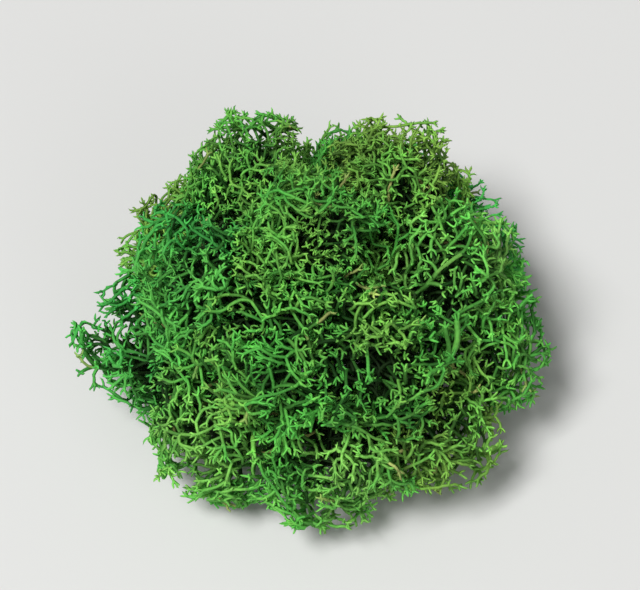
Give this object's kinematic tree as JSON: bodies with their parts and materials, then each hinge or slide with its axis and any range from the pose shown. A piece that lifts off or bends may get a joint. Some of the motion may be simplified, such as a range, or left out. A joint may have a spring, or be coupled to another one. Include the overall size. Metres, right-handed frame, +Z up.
{
  "type": "reindeer moss clump",
  "caption": "Rounded cushion of preserved green reindeer lichen: a low lobed dome of finely forked, star-tipped heads on stems that stand on a small flat foot.",
  "frame": {"origin": "middle of the crown stem's flat foot, on the surface that the clump rests on", "axes": "+Z up through the top of the dome, +X to the right and +Y to the back as the clump is seen from its front; the clump is longest along X"},
  "size_m": [0.0782, 0.0735, 0.0534],
  "materials": {
    "lichen_mid_green": "matte, mealy dyed lichen, mid green",
    "lichen_bright_green": "matte, mealy dyed lichen, bright green",
    "lichen_blue_green": "matte, mealy dyed lichen, slightly bluish green",
    "lichen_olive_green": "matte, mealy dyed lichen, olive green"
  },
  "bodies": {
    "root": {"crown": "lichen_mid_green", "shoulder_1": "lichen_mid_green", "shoulder_2": "lichen_bright_green", "shoulder_3": "lichen_olive_green", "shoulder_4": "lichen_mid_green", "shoulder_5": "lichen_blue_green", "shoulder_6": "lichen_mid_green", "skirt_1": "lichen_bright_green", "skirt_2": "lichen_olive_green", "skirt_3": "lichen_mid_green", "skirt_4": "lichen_blue_green", "skirt_5": "lichen_mid_green", "skirt_6": "lichen_bright_green", "skirt_7": "lichen_olive_green", "skirt_8": "lichen_blue_green", "skirt_9": "lichen_bright_green"}
  },
  "joints": []
}
